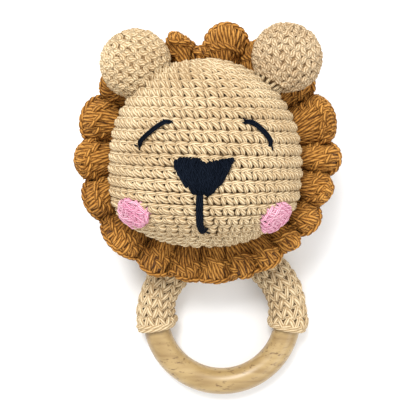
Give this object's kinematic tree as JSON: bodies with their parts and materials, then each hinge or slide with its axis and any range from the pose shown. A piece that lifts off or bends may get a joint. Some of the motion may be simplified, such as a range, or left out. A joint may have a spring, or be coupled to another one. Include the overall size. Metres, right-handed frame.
{
  "type": "baby rattle",
  "caption": "Crocheted lion-face rattle with a ruffled mane and round ears, sewn to a crocheted sleeve in which a wooden teething ring turns.",
  "frame": {"origin": "middle of the flat patch on the back of the head, on which the toy lies", "axes": "+Z out of the face, +Y from the ring towards the ears, +X towards the ear at the right of the face as seen"},
  "size_m": [0.0956, 0.1382, 0.0672],
  "materials": {
    "beige_cotton": "single crochet in soft matt cotton",
    "mustard_cotton": "crocheted frill in soft matt cotton",
    "black_thread": "satin stitches in blue-black thread",
    "pink_thread": "satin stitches in pink thread",
    "fibrefill": "loose white polyester fibre",
    "ring_wood": "turned and waxed pale hardwood with brown flecks",
    "capsule_plastic": "moulded pale plastic",
    "pellet_plastic": "hard moulded beads"
  },
  "bodies": {
    "head": {"head_cover": "beige_cotton", "head_stuffing": "fibrefill", "capsule_front": "capsule_plastic", "capsule_back": "capsule_plastic", "left_ear_cover": "beige_cotton", "left_ear_stuffing": "fibrefill", "left_ear_thread": "beige_cotton", "right_ear_cover": "beige_cotton", "right_ear_stuffing": "fibrefill", "right_ear_thread": "beige_cotton", "mane": "mustard_cotton", "mane_thread": "mustard_cotton", "neck_thread": "beige_cotton", "nose": "black_thread", "mouth_stitch": "black_thread", "left_eye_stitch": "black_thread", "right_eye_stitch": "black_thread", "left_cheek": "pink_thread", "right_cheek": "pink_thread"},
    "sleeve": {"ring_sleeve": "beige_cotton", "sleeve_seam_thread": "beige_cotton"},
    "ring": {"wooden_ring": "ring_wood"},
    "pellet_1": {"pellet_1": "pellet_plastic"},
    "pellet_2": {"pellet_2": "pellet_plastic"},
    "pellet_3": {"pellet_3": "pellet_plastic"},
    "pellet_4": {"pellet_4": "pellet_plastic"},
    "pellet_5": {"pellet_5": "pellet_plastic"},
    "pellet_6": {"pellet_6": "pellet_plastic"}
  },
  "joints": [
    {"name": "neck_bend", "type": "hinge", "parent": "head", "child": "sleeve", "pos_m": [0.0063, -0.03004, 0.00878], "axis": [1, 0, 0], "range_deg": [-8, 40]},
    {"name": "ring_turn", "type": "hinge", "parent": "sleeve", "child": "ring", "pos_m": [0.0063, -0.055, 0.0073], "axis": [0, -0.0593, 0.9982], "continuous": true},
    {"name": "pellet_1_roll", "type": "hinge", "parent": "head", "child": "pellet_1", "pos_m": [0, 0, 0.0315], "axis": [0, -1, 0], "range_deg": [0, 130]},
    {"name": "pellet_2_roll", "type": "hinge", "parent": "head", "child": "pellet_2", "pos_m": [0, 0, 0.0315], "axis": [0.866, -0.5, 0], "range_deg": [0, 130]},
    {"name": "pellet_3_roll", "type": "hinge", "parent": "head", "child": "pellet_3", "pos_m": [0, 0, 0.0315], "axis": [0.866, 0.5, 0], "range_deg": [0, 130]},
    {"name": "pellet_4_roll", "type": "hinge", "parent": "head", "child": "pellet_4", "pos_m": [0, 0, 0.0315], "axis": [0, 1, 0], "range_deg": [0, 130]},
    {"name": "pellet_5_roll", "type": "hinge", "parent": "head", "child": "pellet_5", "pos_m": [0, 0, 0.0315], "axis": [-0.866, 0.5, 0], "range_deg": [0, 130]},
    {"name": "pellet_6_roll", "type": "hinge", "parent": "head", "child": "pellet_6", "pos_m": [0, 0, 0.0315], "axis": [-0.866, -0.5, 0], "range_deg": [0, 130]}
  ]
}
